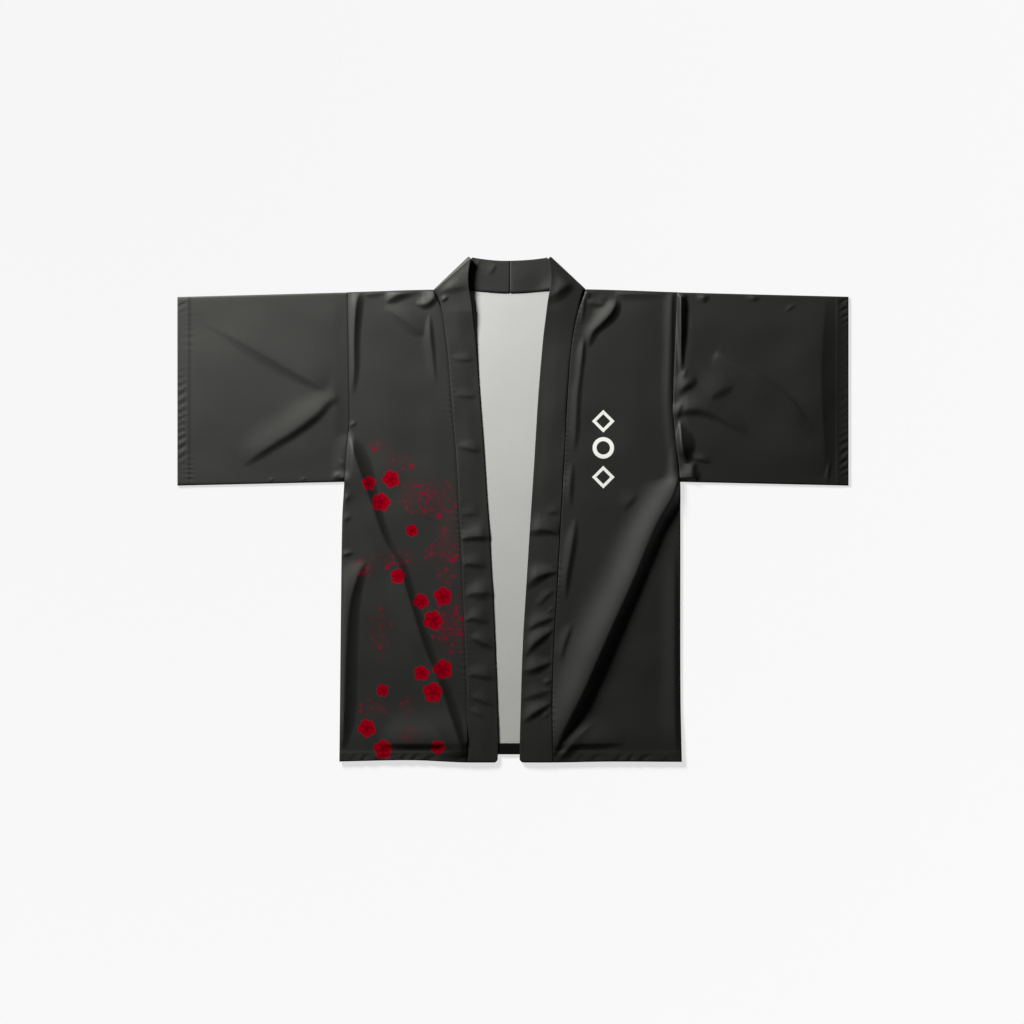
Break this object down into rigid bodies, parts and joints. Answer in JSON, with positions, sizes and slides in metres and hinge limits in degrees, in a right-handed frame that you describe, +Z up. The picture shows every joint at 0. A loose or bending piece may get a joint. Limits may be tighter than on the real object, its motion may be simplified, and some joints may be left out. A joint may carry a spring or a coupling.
{
  "type": "kimono jacket",
  "caption": "Short kimono jacket laid flat with its front side up: wide open sleeves, straight body and a doubled collar band round the neck and down each front.",
  "frame": {"origin": "on the surface it lies on, under the middle of the jacket", "axes": "+X to the wearer's left, from cuff to cuff; +Y from the hem to the neck; +Z up, away from the surface"},
  "size_m": [1.056, 0.796, 0.0148],
  "materials": {
    "shell_cloth": "soft black cloth with a slight sheen",
    "printed_cloth": "soft black cloth with dark red blossoms",
    "collar_cloth": "soft black cloth, doubled",
    "inside_cloth": "matt unprinted pale grey inner side",
    "hem_cloth": "matt black turned-up edge"
  },
  "bodies": {
    "root": {"back": "inside_cloth", "back_hem": "hem_cloth", "front_right": "printed_cloth", "front_left": "shell_cloth", "sleeve_right": "shell_cloth", "sleeve_left": "shell_cloth", "collar_right": "collar_cloth", "collar_left": "collar_cloth"}
  },
  "joints": []
}
